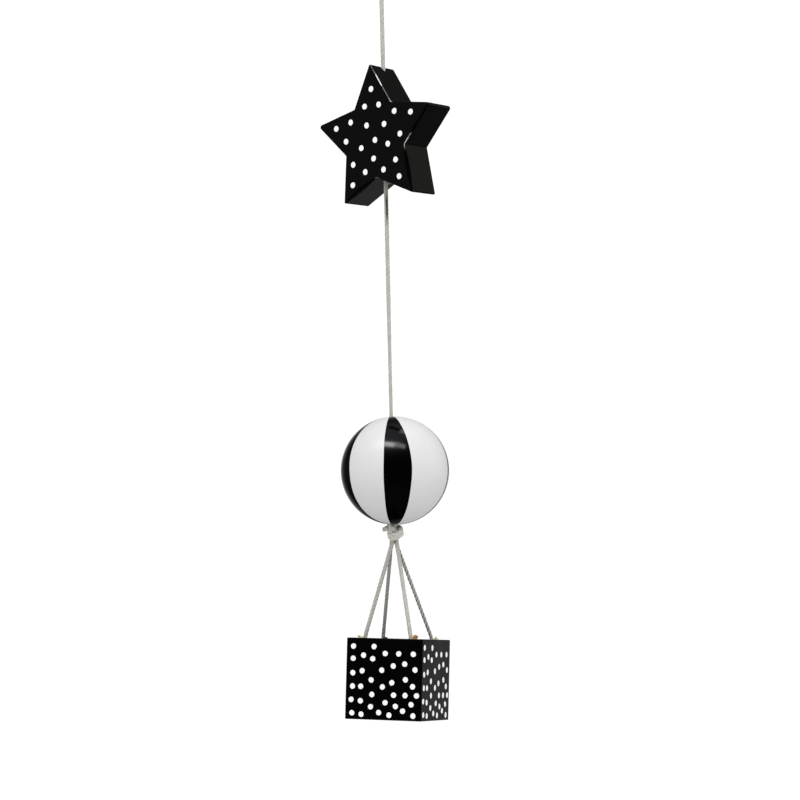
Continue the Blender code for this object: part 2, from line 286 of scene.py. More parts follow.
def make_bare_wood(name, pale, dark):
    """Split, unpainted wood, with its grain along Z."""
    material, nodes, shader, place = new_material(name)
    grain = nodes.noise(place, (2600.0, 2600.0, 220.0), 4.0, 0.6)
    nodes.feed(shader, {
        "Base Color": nodes.mix(nodes.span(grain, 0.3, 0.72), (*dark, 1), (*pale, 1)),
        "Roughness": 0.75,
        "Specular IOR Level": 0.3,
        "Normal": nodes.bump(grain, 0.00004),
    })
    return material


# ------ mesh building

DRILL_SIDES = 40
SLIVER = 0.000002  # edges shorter than this go after drilling
SAME_POINT = 0.0000002
DOT_POINTS = 28
DOT_WAVES = ((2, 0.022, 1.7), (3, 0.014, 2.9))  # in a dot's rim: how many, how high, and how far turned


def new_object(name, data, materials=()):
    for material in materials:
        data.materials.append(material)
    obj = bpy.data.objects.new(name, data)
    bpy.context.scene.collection.objects.link(obj)
    return obj


def object_of(shape, name, materials, place=Matrix()):
    """An object from a bmesh, which it uses up."""
    mesh = bpy.data.meshes.new(name)
    shape.to_mesh(mesh)
    shape.free()
    mesh.transform(place)
    return new_object(name, mesh, materials)


def change_mesh(mesh, change):
    """Puts a mesh through a change to its bmesh."""
    shape = bmesh.new()
    shape.from_mesh(mesh)
    change(shape)
    shape.to_mesh(mesh)
    shape.free()


def turn_faces_out(shape):
    bmesh.ops.recalc_face_normals(shape, faces=shape.faces)


def shade(obj, angle, even=False):
    """Smooth but for edges sharper than angle. even keeps flats flat beside their eased edges."""
    obj.data.shade_smooth()
    obj.data.set_sharp_from_angle(angle=math.radians(angle))
    if even:
        put(obj.modifiers.new("even_shading", "WEIGHTED_NORMAL"), weight=80, keep_sharp=True)


def built(name, verts, faces, materials, angle, slots=(), uvs=()):
    """An object from points and faces, with the faces' material slots and their corners' UVs."""
    mesh = bpy.data.meshes.new(name)
    mesh.from_pydata(verts, [], faces)
    obj = new_object(name, mesh, materials)
    if slots:
        mesh.polygons.foreach_set("material_index", slots)
    if uvs:
        mesh.uv_layers.new(name="along_and_round").data.foreach_set("uv", [c for uv in uvs for c in uv])
    change_mesh(mesh, turn_faces_out)
    shade(obj, angle)
    return obj


def bands(rings, around):
    """The faces between rings of around points."""
    faces = []
    for i in range(rings - 1):
        for k in range(around):
            j = (k + 1) % around
            faces.append((i * around + k, i * around + j, (i + 1) * around + j, (i + 1) * around + k))
    return faces


def fan(ring, around, middle):
    """The faces that close a ring round its middle point."""
    return [(ring * around + k, ring * around + (k + 1) % around, middle) for k in range(around)]


def drill(obj, start, end, radius, lining, end_radius=None):
    """Cuts a round hole along a line, straight or tapering to end_radius, and lines it with a material."""
    axis = end - start
    turn = axis.to_track_quat("Z", "Y").to_matrix().to_4x4()
    shape = bmesh.new()
    bmesh.ops.create_cone(
        shape, cap_ends=True, segments=DRILL_SIDES, radius1=radius, radius2=end_radius or radius,
        depth=axis.length, matrix=Matrix.Translation((start + end) / 2) @ turn,
    )
    cutter = object_of(shape, "drill", [lining])
    modifier = obj.modifiers.new("drilled", "BOOLEAN")
    put(modifier, operation="DIFFERENCE", object=cutter, solver="EXACT", material_mode="TRANSFER")
    bpy.context.view_layer.update()
    graph = bpy.context.evaluated_depsgraph_get()
    mesh = bpy.data.meshes.new_from_object(obj.evaluated_get(graph))
    obj.modifiers.clear()
    obj.data = mesh
    bpy.data.objects.remove(cutter, do_unlink=True)
    change_mesh(mesh, lambda cut: bmesh.ops.dissolve_degenerate(cut, dist=SLIVER, edges=cut.edges))


def dot_rim(centre, radius, number):
    """A printed dot's slightly uneven edge, in millimetres."""
    points = []
    for i in range(DOT_POINTS):
        a = 2 * math.pi * i / DOT_POINTS
        swell = 1.0
        for waves, height, turn in DOT_WAVES:
            swell += height * math.sin(waves * a + turn * number)
        r = radius / MM * swell
        points.append(Vector((centre[0] + r * math.cos(a), centre[1] + r * math.sin(a))))
    return points


def add_print(shape, rim, dots, dot_radius, place):
    """Fills a flat outline in millimetres with a dotted print, in slot 0 with its dots in slot 1.

    place carries the outline's two coordinates to a point.
    """
    points = [Vector(p) for p in rim]
    outlines = [list(range(len(points)))]
    for number, centre in enumerate(dots):
        circle = dot_rim(centre, dot_radius, number)
        outlines.append(list(range(len(points), len(points) + len(circle))))
        points += circle
    corners, _, triangles, _, _, origins = geometry.delaunay_2d_cdt(points, [], outlines, 1, 1e-6)
    verts = [shape.verts.new(place(p.x * MM, p.y * MM)) for p in corners]
    for triangle, inside in zip(triangles, origins):
        face = shape.faces.new([verts[i] for i in triangle])
        face.material_index = int(any(outline > 0 for outline in inside))


def close_up(shape):
    """Joins the prints to what is round them."""
    bmesh.ops.remove_doubles(shape, verts=shape.verts, dist=SAME_POINT)
    turn_faces_out(shape)


def settle(piece, node):
    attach(piece, "root")
    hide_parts(node)


# ------ the star

STAR_CORNER_STEPS = 7
STAR_SIDE_STEPS = 24
STAR_EDGE_STEPS = 5

# The print, as (across, up) in millimetres from the star's centre, row by row from the top.
STAR_DOTS = (
    (0.0, 23.0),
    (-4.5, 15.5), (4.0, 15.0),
    (-13.5, 9.5), (13.0, 10.5),
    (-22.5, 8.0), (-4.0, 6.5), (6.5, 5.5), (22.5, 8.5),
    (-17.0, 1.0), (0.5, -1.0), (15.5, -0.5),
    (-8.0, -3.5), (8.0, -4.0),
    (-13.5, -10.5), (-1.0, -9.5), (12.0, -12.0),
    (-6.5, -15.0), (4.5, -15.5),
    (-14.5, -20.0), (13.5, -20.0),
)

# Stretches of the front rim with a painted highlight, pale paint where the lamps' glint falls: their start
# and end, in corners from the top tip leftwards, and strength.
STAR_RIM_HIGHLIGHTS = (
    (5.00, 5.04, 0.35),
    (6.93, 7.00, 0.25),
    (7.00, 7.14, 1.0),
    (7.10, 7.26, 0.4),
    (9.00, 9.03, 1.3),
    (9.00, 9.95, 0.20),
    (9.45, 9.72, 7.0),
)
STAR_RIM_HIGHLIGHT_FADE = 0.05
STAR_RIM_HIGHLIGHT_CREST = (0.3, 0.7)  # the share of the rounded rim, across it, that carries the painted highlight
STAR_DRILLED = 1.2  # tip radii above and below its middle


def star_outline(side):
    """The star's outline with rounded corners, at its front face (side -1) or its back one (side 1).

    Each point comes with its way in, the rim's rounding there, and how far along it is, in corners.
    """
    corners = []
    for i in range(10):
        radius = (STAR_NOTCH_RADII if i % 2 else STAR_TIP_RADII)[i // 2]
        angle = math.pi / 2 + math.pi * i / 5
        corners.append(Vector((radius * math.cos(angle), radius * math.sin(angle))))
    arcs = []
    for i, corner in enumerate(corners):
        into = (corners[i - 1] - corner).normalized()
        out = (corners[(i + 1) % 10] - corner).normalized()
        half_angle = into.angle(out) / 2
        rounding = STAR_NOTCH_ROUNDING if i % 2 else STAR_TIP_ROUNDINGS[i // 2][(1 + side) // 2]
        reach = rounding / math.tan(half_angle)
        middle = corner + (into + out).normalized() * rounding / math.sin(half_angle)
        start = corner + into * reach - middle
        end = corner + out * reach - middle
        arc = []
        for k in range(STAR_CORNER_STEPS + 1):
            step = start.lerp(end, k / STAR_CORNER_STEPS).normalized()
            arc.append((middle + step * rounding, step if i % 2 else -step, STAR_EDGE, i))
        arcs.append(arc)
    points = []
    for i, arc in enumerate(arcs):
        before, after = arc[-1][0], arcs[(i + 1) % 10][0][0]
        inwards = (after - before).orthogonal().normalized()
        points += arc
        for k in range(1, STAR_SIDE_STEPS):
            share = k / STAR_SIDE_STEPS
            swell = STAR_EDGE_SWELLS[i] * math.sin(math.pi * share) if side < 0 else 0.0
            points.append((before.lerp(after, share), inwards, STAR_EDGE + swell, i + share))
    return points


def star_rim_highlight(along):
    """How strong the painted highlight on the front rim is, so many corners from the top tip."""
    most = 0.0
    for start, end, strength in STAR_RIM_HIGHLIGHTS:
        rise = min(1.0, max(0.0, (along - start) / STAR_RIM_HIGHLIGHT_FADE + 0.5))
        fall = min(1.0, max(0.0, (end - along) / STAR_RIM_HIGHLIGHT_FADE + 0.5))
        most = max(most, strength * rise * fall)
    return most


def star_rings():
    """Rings of (point, painted highlight) from the front flat's rim round to the back flat's."""
    rings = []
    for side in (-1, 1):
        outline = star_outline(side)
        for k in range(STAR_EDGE_STEPS + 1)[::-side]:
            a = math.pi / 2 * k / STAR_EDGE_STEPS
            highlit = side < 0 and STAR_RIM_HIGHLIGHT_CREST[0] < k / STAR_EDGE_STEPS < STAR_RIM_HIGHLIGHT_CREST[1]
            ring = []
            for place, inwards, rim, along in outline:
                p = place + inwards * rim * (1 - math.sin(a))
                depth = side * (STAR_THICKNESS / 2 - rim * (1 - math.cos(a)))
                ring.append((Vector((p.x, depth, p.y)), star_rim_highlight(along) if highlit else 0.0))
            rings.append(ring)
    return rings


def make_star(black, white, wood):
    """A thick flat star with eased rims and a print on both faces, drilled from its top tip to a notch."""
    shape = bmesh.new()
    # The painted highlight along the front rim, kept as a mesh attribute for the paint.
    painted_highlight = shape.verts.layers.float.new("painted_highlight")
    rings = star_rings()
    verts = []
    for place, highlit in sum(rings, []):
        verts.append(shape.verts.new(place))
        verts[-1][painted_highlight] = highlit
    for face in bands(len(rings), len(rings[0])):
        shape.faces.new([verts[i] for i in face])
    half = STAR_THICKNESS / 2
    for side, ring in ((-1, rings[0]), (1, rings[-1])):  # the back's print, from behind, is the front's
        rim = [Vector((-side * p.x, p.z)) / MM for p, _ in ring]
        add_print(shape, rim, STAR_DOTS, STAR_DOT_RADIUS, lambda x, y: (-side * x, side * half, y))
    close_up(shape)
    star = object_of(shape, "painted_star", [black, white, wood], STAR_PLACE)
    middle, reach = STAR_PLACE.translation.z, STAR_DRILLED * STAR_TIP_RADII[0]
    drill(star, up(middle + reach), up(middle - reach), STAR_BORE_RADIUS, wood)
    ridge = up(middle + STAR_TIP_RADII[0] - STAR_TIP_ROUNDINGS[0][0])
    neck = ridge - up(STAR_MOUTH_DEPTH)
    drill(star, neck, ridge, STAR_MOUTH_RADII[0], black, STAR_MOUTH_RADII[1])
    inside, outside = (STAR_PLACE @ (STAR_CHIP_PLACE + sign * STAR_CHIP_OUT) for sign in (-1, 1))
    drill(star, inside, outside, STAR_CHIP_RADII[0], wood, STAR_CHIP_RADII[1])
    shade(star, 30, even=True)
    return star


# ------ the ball

BALL_RINGS = 110
BALL_BLACK_CAP = 0.0019  # the gores' paint meets round the bore out to here
GORE_STEPS_PER_DEGREE = 0.3
GORE_MOST_SPREAD = 24.0  # degrees, close to the bore
GORE_WAVES = ((0.2, 3.1, 1.3), (0.12, 8.7, 2.1))  # in an edge: how many degrees, how fast, and how far turned


def gore_edge(number, height, reach):
    """The angle of a gore's edge at a height from -1 to 1 on the ball, reach away from the bore's axis."""
    middle, at_top, at_bottom, wide_bottom, wide_top = GORE_EDGES[number % len(GORE_EDGES)]
    degrees = middle + (at_top if height > 0 else at_bottom) * height * height
    degrees += sum(most * math.sin(rate * height + turn * number) for most, rate, turn in GORE_WAVES)
    wide = (wide_bottom if height < 0 else wide_top) * MM * abs(height) ** 3
    outwards = -1 if number % 2 == 0 else 1
    spread = math.degrees(math.atan2(wide, reach))
    degrees += outwards * min(spread * 0.5 * (1 + math.sin(math.radians(min(spread, 90)))), GORE_MOST_SPREAD)
    return math.radians(degrees) + CAMERA_AZIMUTH - math.pi / 2


def make_ball(black, white, wood):
    """A turned ball, painted in gores that meet at its bore, which misses its centre a little."""
    columns = []  # (the gore edge before it, its share of the way to the next one)
    for number, (middle, *_) in enumerate(GORE_EDGES):
        width = (GORE_EDGES[(number + 1) % len(GORE_EDGES)][0] - middle) % 360
        steps = round(width * GORE_STEPS_PER_DEGREE)
        columns += [(number, k / steps) for k in range(steps)]
    offset = BALL_CENTRE.xy

    def direction(number, share, height, reach):
        start, end = (gore_edge(edge, height, reach) for edge in (number, number + 1))
        angle = start + (end + (2 * math.pi if end < start else 0) - start) * share
        return Vector((math.cos(angle), math.sin(angle)))

    verts, faces, slots = [], [], []
    rows = BALL_RINGS + 1
    for column in columns:
        for row in range(rows):
            height = math.cos(math.pi * row / BALL_RINGS)
            reach = BALL_RADIUS * math.sqrt(1 - height * height) + BALL_BORE_RADIUS
            along = direction(*column, height, reach)
            towards = offset.dot(along)
            circle = math.sqrt(BALL_RADIUS**2 - offset.length_squared + towards**2)
            first = math.asin((BALL_BORE_RADIUS + BALL_RIM - towards) / circle)
            angle = first + (math.pi - 2 * first) * row / BALL_RINGS
            reach = towards + circle * math.sin(angle)
            verts.append((*(along * reach), BALL_CENTRE.z + circle * math.cos(angle)))
        # The rim rolls over into the bore, first at the bottom and then at the top.
        bottom_z, top_z = verts[-1][2], verts[-rows][2]
        for height, rim_z in ((-1, bottom_z), (1, top_z)):
            along = direction(*column, height, BALL_BORE_RADIUS)
            for k in (1, 2):
                a = math.pi / 4 * k
                reach = BALL_BORE_RADIUS + BALL_RIM * (1 - math.sin(a))
                verts.append((*(along * reach), rim_z - height * BALL_RIM * (1 - math.cos(a))))
    per_column = rows + 4
    for i, (number, _) in enumerate(columns):
        a, b = i * per_column, (i + 1) % len(columns) * per_column
        chain = list(range(rows)) + [rows, rows + 1]  # down the outside and into the bore at the bottom
        pairs = list(zip(chain, chain[1:])) + [(rows + 2, 0), (rows + 3, rows + 2)]
        for first, second in pairs:
            faces.append((a + first, a + second, b + second, b + first))
            near = math.hypot(verts[a + first][0], verts[a + first][1]) < BALL_BLACK_CAP
            slots.append(1 if number % 2 == 0 or near else 0)
        faces.append((a + rows + 1, a + rows + 3, b + rows + 3, b + rows + 1))
        slots.append(2)
    return built("painted_ball", verts, faces, [white, black, wood], 50, slots)


# ------ the basket and its pegs

# The print, as (across, up) in millimetres from the middle of the front side, in seven staggered columns.
BASKET_DOTS = (
    (-15.0, 14.5), (-15.0, 9.0), (-15.0, 2.5), (-15.0, -3.5), (-15.5, -9.5), (-15.0, -15.5),
    (-10.0, 10.5), (-10.5, 3.5), (-11.0, -3.5), (-11.0, -10.0), (-10.5, -16.0),
    (-5.0, 14.5), (-5.5, 9.0), (-6.0, -0.5), (-5.5, -7.0), (-6.0, -12.5),
    (0.5, 11.5), (-1.0, 4.0), (-0.5, -3.5), (1.0, -10.5), (-2.0, -15.0),
    (4.5, 6.0), (4.0, -1.5), (5.0, -7.0), (6.0, -12.0), (3.0, -16.0),
    (7.0, 11.5), (10.0, 7.0), (10.5, 0.0), (10.5, -7.0), (9.5, -14.0),
    (14.0, 11.5), (15.0, 4.5), (14.0, -3.0), (16.0, -7.0), (13.5, -11.0), (14.5, -16.0),
)
BASKET_PRINT_SHIFTS = (0.0, -0.4, 0.2, -0.2)  # how far across the print sits on each side

# For each string: its hole's place on the basket's top, the side of it that its peg is on, how far the peg
# stands out, how far its head leans, its wood, and the string's cotton, groove and thickness.
STRINGS = (
    ((-0.0128, -0.0129), -1, 0.0004, 0.0006, "pale", "dull", 0.09, 1.11),
    ((-0.0119, 0.0129), 1, 0.0, 0.0, "dark", "shaded", 0.09, 1.0),
    ((0.0117, -0.0129), 1, 0.0011, 0.0008, "amber", "plain", 0.09, 1.11),
    ((0.0124, 0.0129), 1, 0.0003, 0.0005, "pale", "open", 0.34, 1.0),
)
PEG_SIDES = 20
PEG_LEVELS = 16
PEG_HEAD_LEVELS = 4
PEG_RADIUS = HOLE_RADIUS - GAP
PEG_FLAT = 0.00016  # how far off its middle the string's side of it is
PEG_SQUASH = 0.94
PEG_FOOT = 0.9  # of its width
PEG_WIDENS = 0.1
PEG_SPLINTERS = 0.00035
PEG_SLANT = (0.35, 0.2)  # of its torn head, away from the string and along the flat
PEG_SLANT_FROM = 0.0009


def mouth_centre(hole):
    return Vector((*hole, BASKET_SIDE / 2))


def make_basket(black, white, wood):
    """A block with eased edges, the same print on its sides and a blind hole near each corner of its top."""
    shape = bmesh.new()
    bmesh.ops.create_cube(shape, size=BASKET_SIDE)
    rims = shape.edges[:] + shape.verts[:]
    bmesh.ops.bevel(shape, geom=rims, offset=BASKET_EDGE, segments=4, profile=0.5, affect="EDGES")
    half = BASKET_SIDE / 2
    flats = [f for f in shape.faces if f.calc_area() > half**2 and abs(f.normal.z) < 0.5]
    bmesh.ops.delete(shape, geom=flats, context="FACES_ONLY")
    r = (half - BASKET_EDGE) / MM
    sides = (
        lambda x, y: (x, -half, y),
        lambda x, y: (half, x, y),
        lambda x, y: (-x, half, y),
        lambda x, y: (-half, -x, y),
    )
    for side, shift, radius in zip(sides, BASKET_PRINT_SHIFTS, BASKET_DOT_RADII):
        dots = [(x + shift, y) for x, y in BASKET_DOTS]
        add_print(shape, [(-r, -r), (r, -r), (r, r), (-r, r)], dots, radius, side)
    close_up(shape)
    basket = object_of(shape, "painted_basket", [black, white, wood], BASKET_PLACE)
    for hole, *_ in STRINGS:
        mouth, down = mouth_centre(hole), up(HOLE_DEPTH)
        drill(basket, BASKET_PLACE @ (mouth + down), BASKET_PLACE @ (mouth - down), HOLE_RADIUS, wood)
    shade(basket, 30, even=True)
    return basket


def make_peg(number, hole, peg_side, proud, lean, wood):
    """A split sliver of dowel, driven in beside the string. Its torn head leans out over the basket's top."""
    rng = random.Random(40 + number)
    bottom, top = -HOLE_DEPTH + GAP, proud + GAP
    section = []
    for k in range(PEG_SIDES):
        a = -math.pi / 2 + math.pi * k / (PEG_SIDES - 1)
        section.append((max(PEG_FLAT, PEG_RADIUS * math.cos(a)), PEG_RADIUS * PEG_SQUASH * math.sin(a)))
    splinter = [rng.uniform(-1, 1) for _ in range(PEG_SIDES)]
    verts = []
    for level in range(PEG_LEVELS):
        share = level / (PEG_LEVELS - 1)
        taper = PEG_FOOT + PEG_WIDENS * share
        head = max(0, level - PEG_LEVELS + PEG_HEAD_LEVELS + 1) / PEG_HEAD_LEVELS
        for k, (x, y) in enumerate(section):
            z = bottom + (top - bottom) * share
            z += (PEG_SPLINTERS * splinter[k] - PEG_SLANT[0] * (x - PEG_SLANT_FROM) - PEG_SLANT[1] * y) * head
            x += lean * head * head * max(0.0, z) / top
            verts.append(Vector((peg_side * x * taper, y * taper, z)))
    faces = bands(PEG_LEVELS, PEG_SIDES)
    for level in (0, PEG_LEVELS - 1):
        ring = verts[level * PEG_SIDES : (level + 1) * PEG_SIDES]
        faces += fan(level, PEG_SIDES, len(verts))
        verts.append(sum(ring, Vector()) / PEG_SIDES)
    place = BASKET_PLACE @ Matrix.Translation(mouth_centre(hole))
    return built(f"split_peg_{number}", [place @ v for v in verts], faces, [wood], 40)


# ------ twisted cord

PLY_POINTS = 8  # round each of the three plies
PLY_GROOVE = (1.0, 0.38, 0.12, 0.0)  # its depth, point by point away from it
RING_STEP = 0.00026
SWELL_COUNT = 5  # small waves in a cord's thickness
SWELL_SPANS = ((250, 1100), (0, 6.28), (0.008, 0.02))  # of how fast, how far turned and how high they are
TWIST_WAVE = (0.25, 310)  # how far and how fast the twist runs uneven
END_CROWN = 0.25
FIBRE_RADIUS = 0.000075
FIBRE_STEPS = 7
FIBRE_SIDES = 5
FIBRE_TAPER = 0.75
FRAYED_FIBRES = 22
FRAYED_LENGTH = 0.0011
FRAYED_LENGTHS = (0.5, 1.5)  # times that
FRAYED_SPREAD = 0.8  # of the cord's radius
FRAYED_LEANS = (0.05, 0.7)
FRAYED_LIFTS = (-0.1, 0.2)
# Painted shade on the cord just below the star, on the side where the star's leg holds back the light.
CORD_SHADE_ABOVE = 0.010
CORD_SHADE_LENGTH = 0.023
CORD_SHADE_STRENGTHS = ((0.0, 0.0), (0.3, 0.3), (0.45, 1.0), (0.75, 0.9), (1.0, 0.0))  # by share of the way down
CORD_SHADE_SIDE = CAMERA_AZIMUTH - math.radians(20)
CORD_SHADE_STREAK = (1.9, 2.7, 0.55)  # how strong, how fast it fades across the cord, and where its middle is


def evened(line, step=None, count=None):
    """Evenly spaced points along a line, about step apart or count in all, and how far along it they are."""
    line = np.asarray(line, float)
    run = np.concatenate([[0], np.cumsum(np.linalg.norm(np.diff(line, axis=0), axis=1))])
    marks = np.linspace(0, run[-1], count or max(2, round(run[-1] / step) + 1))
    return np.stack([np.interp(marks, run, line[:, k]) for k in range(3)], axis=1), marks


def unit(rows, least=0.0):
    return rows / (np.linalg.norm(rows, axis=1)[:, None] + least)


def carried_normals(points):
    """Tangents, and normals that turn as little as they can along the line."""
    tangents = unit(np.gradient(points, axis=0))
    start = (1, 0, 0) if abs(tangents[0][0]) < 0.9 else (0, 1, 0)
    normals = [np.cross(np.cross(tangents[0], start), tangents[0])]
    for tangent in tangents[1:]:
        normals.append(normals[-1] - tangent * normals[-1].dot(tangent))
    return tangents, unit(np.array(normals))


def ply_section(groove):
    """A round section with a groove between each two of its three plies, as deep as a share of the radius."""
    section = []
    for k in range(3 * PLY_POINTS):
        off = min(k % PLY_POINTS, PLY_POINTS - k % PLY_POINTS)
        section.append(1 - groove * PLY_GROOVE[min(off, len(PLY_GROOVE) - 1)])
    return np.array(section)


def twisted_tube(points, radius, groove, seed, phase=0.0, swells=((0, 1), (1, 1))):
    """A three-ply cord along a line: its points, faces and, for each face's corners, their UV."""
    rng = random.Random(seed)
    centres, run = evened(points, step=RING_STEP)
    tangents, normals = carried_normals(centres)
    sides = np.cross(tangents, normals)
    section = ply_section(groove)
    around = len(section)
    waves = [[rng.uniform(*span) for span in SWELL_SPANS] for _ in range(SWELL_COUNT)]
    verts = []
    for i, s in enumerate(run):
        swell = 1 + sum(size * math.sin(rate * s + shift) for rate, shift, size in waves)
        swell *= np.interp(s / run[-1], *zip(*swells))
        twist = phase + 2 * math.pi * s / CORD_LAY + TWIST_WAVE[0] * math.sin(TWIST_WAVE[1] * s + seed)
        angles = twist + 2 * math.pi * np.arange(around) / around
        ring = np.outer(section * np.cos(angles), normals[i]) + np.outer(section * np.sin(angles), sides[i])
        verts += list(centres[i] + radius * swell * ring)
    faces, uvs = bands(len(run), around), []
    for start, end in zip(run / MM, run[1:] / MM):
        for k in range(around):
            v0, v1 = k / around, (k + 1) / around
            uvs += [(start, v0), (start, v1), (end, v1), (end, v0)]
    for end, centre, tangent in ((0, centres[0], -tangents[0]), (len(run) - 1, centres[-1], tangents[-1])):
        closing = fan(end, around, len(verts))
        faces += closing if end else [face[::-1] for face in closing]
        verts.append(centre + tangent * radius * END_CROWN)
        uvs += [(0, 0.0), (0, 0.1), (0.4, 0.05)] * around
    return verts, faces, uvs


def fibre(start, direction, bend, length, seed):
    """A thin tapering fibre that curls away from start."""
    direction, bend = np.array(direction), np.array(bend)
    side = np.cross(direction, [0.3, 0.2, 0.9])
    side /= np.linalg.norm(side)
    other = np.cross(direction, side)
    verts = []
    for i in range(FIBRE_STEPS):
        share = i / (FIBRE_STEPS - 1)
        centre = np.array(start) + direction * length * share + bend * length * share**2
        thick = FIBRE_RADIUS * (1 - FIBRE_TAPER * share)
        for k in range(FIBRE_SIDES):
            a = 2 * math.pi * k / FIBRE_SIDES
            verts.append(centre + thick * (side * math.cos(a) + other * math.sin(a)))
    faces, uvs = bands(FIBRE_STEPS, FIBRE_SIDES), []
    v = random.Random(seed).uniform(0.1, 0.25)
    for i in range(FIBRE_STEPS - 1):
        u = i * 0.3
        uvs += [(u, v), (u, v + 0.02), (u + 0.3, v + 0.02), (u + 0.3, v)] * FIBRE_SIDES
    for level in (0, FIBRE_STEPS - 1):
        faces.append(tuple(level * FIBRE_SIDES + k for k in range(FIBRE_SIDES)))
        uvs += [(0, v)] * FIBRE_SIDES
    return verts, faces, uvs


def cord_piece(name, node, tubes, cotton):
    """One piece from several tubes or fibres, for a CAD node."""
    verts, faces, uvs = [], [], []
    for tube_verts, tube_faces, tube_uvs in tubes:
        base = len(verts)
        verts += tube_verts
        faces += [tuple(base + i for i in face) for face in tube_faces]
        uvs += tube_uvs
    piece = built(name, verts, faces, [cotton], 75, uvs=uvs)
    settle(piece, node)
    return piece


def shade_cord_below_star(cord):
    """Painted shade on one side of the cord just below the star, where the star holds back the light: near
    black, fading down the cord.
    """
    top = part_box("star")[0].z + CORD_SHADE_ABOVE
    shaded_side = Vector((math.cos(CORD_SHADE_SIDE), math.sin(CORD_SHADE_SIDE)))
    strength, fade, middle = CORD_SHADE_STREAK
    painted_shade = cord.data.attributes.new("painted_shade", "FLOAT", "POINT")
    for vert, value in zip(cord.data.vertices, painted_shade.data):
        down = (top - vert.co.z) / CORD_SHADE_LENGTH
        across = vert.co.xy.dot(shaded_side) / CORD_RADIUS
        streak = min(1.0, max(0.0, strength - fade * abs(across - middle)))
        value.value = streak * float(np.interp(down, *zip(*CORD_SHADE_STRENGTHS)))


def frayed_end(place, direction, seed):
    """The loose fibres of a cut end."""
    rng = random.Random(seed)
    axis = Vector(direction).normalized()
    across = axis.orthogonal().normalized()
    tubes = []
    for i in range(FRAYED_FIBRES):
        out = Matrix.Rotation(rng.uniform(0, 2 * math.pi), 3, axis) @ across
        start = Vector(place) + out * (CORD_RADIUS * FRAYED_SPREAD * math.sqrt(rng.random()))
        lean = out * rng.uniform(*FRAYED_LEANS) + up(rng.uniform(*FRAYED_LIFTS))
        tubes.append(fibre(start, axis, lean, FRAYED_LENGTH * rng.uniform(*FRAYED_LENGTHS), seed * 100 + i))
    return tubes


def loop_route():
    """The drop-shaped loop, from its knot up round the crown and back, as the CAD part draws it."""
    half_length = (LOOP_LENGTH + CORD_RADIUS) / 2
    middle_z = CORD_RADIUS - half_length

    def half_width(t):
        return LOOP_WIDTH_FACTOR * abs(math.sin(t)) * math.sin(t / 2) ** LOOP_TAPER

    first = 0.0
    while half_width(first) < LOOP_LEG_HALF_SPACING:
        first += math.radians(0.5)
    points = []
    for i in range(LOOP_STEPS + 1):
        t = first + (2 * math.pi - 2 * first) * i / LOOP_STEPS
        side = 1 if t < math.pi else -1
        points.append(Vector((side * half_width(t), 0, middle_z - half_length * math.cos(t))))
    start, end = (Vector((p.x * 0.8, 0, LOOP_KNOT_TOP_Z - LOOP_IN_KNOT)) for p in (points[0], points[-1]))
    return [start, *points, end]


def string_route(hole, peg_side):
    """From inside the gathering knot straight to the hole's mouth, then in an easy bend down into it."""
    mouth = mouth_centre(hole) - Vector((peg_side * STRING_OFFSET_IN_HOLE, 0, 0))
    bottom = mouth - up(HOLE_DEPTH - GAP)
    mouth, bottom = BASKET_PLACE @ mouth, BASKET_PLACE @ bottom
    start_x, start_y = (math.copysign(STRING_START_HALF_SPACING, across) for across in hole)
    start = Vector((start_x, start_y, GATHER_KNOT_BOTTOM_Z - GAP))
    start.rotate(Matrix.Rotation(STRING_START_TURN, 3, "Z"))
    parting = start - up(STRING_TOGETHER)
    bend_start = mouth + (parting - mouth).normalized() * STRING_BEND_LENGTH
    bend_end = mouth + (bottom - mouth).normalized() * STRING_BEND_LENGTH
    points = [start * 0.5 + up(start.z * 0.5 + STRING_IN_KNOT), start, parting, bend_start]
    for i in range(1, STRING_BEND_STEPS):
        t = i / STRING_BEND_STEPS
        points.append(bend_start.lerp(mouth, t).lerp(mouth.lerp(bend_end, t), t))
    return points + [bend_end, bottom]


# ------ knots

TREFOIL_END = 2.15  # of its parameter, either way
TREFOIL_SIZES = (0.75, 0.42, 0.9)
KNOT_TAIL = 3.2  # how much higher the rope's ends are, in thicknesses
KNOT_POINTS = 130
KNOT_TURNS = 240
KNOT_PUSHES = 6
KNOT_STIFFNESS = (6.0, 0.85)  # to begin with, and the share of it that goes by the last turn
KNOT_CENTRING = 0.2  # the share of its distance from the axis that it loses in each turn
KNOT_PUSH = 1.3
KNOT_NEAR = 1.45  # points closer than this along the rope are one stretch of it
KNOT_STRAND_POINTS = 220
KNOT_STRAND_RADIUS = 0.37  # of the rope's thickness
KNOT_STRAND_OFFSET = 0.27
KNOT_END = 0.12  # the share of a strand over which the two come together at either end
KNOT_FLATTER = 0.86
KNOT_FLARE = 0.14  # how much wider it gets towards its top
KNOT_CUT_FROM = 0.9  # the share of its strand at which the cut end comes away
KNOT_CUT_BLEND = 8  # the points over which it does
KNOT_SMOOTHINGS = (4, 6)  # of the strand that runs through and of the one with the cut end
CURVE_STEPS = 14

# A knot is tied in a rope of two cords. off_centre is how far its middle is from the cord, hidden how far
# above its foot it stops, upright that its single cord is at the top, and cut_end the way of its loose end.
LOOP_KNOT = dict(
    rope=0.0021, turn=math.radians(60), left_handed=False, off_centre=(0, 0, 0), hidden=-0.0002,
    upright=False, pair_half_spacing=STRING_START_HALF_SPACING,
    cut_end=((0.0018, -0.0004, 0.0028), (0.0040, -0.0011, 0.0018), (0.0050, -0.0013, 0.0004)),
)
GATHER_KNOT = dict(
    rope=0.0030, turn=math.radians(207), left_handed=True, off_centre=(0.0008, 0, 0.0007), hidden=0.0013,
    upright=True, pair_half_spacing=0.0009,
    cut_end=(
        (-0.0012, 0.0002, 0.0027), (-0.0026, -0.0010, 0.0024),
        (-0.0032, -0.0026, 0.0018), (-0.0032, -0.0037, 0.0016),
    ),
)


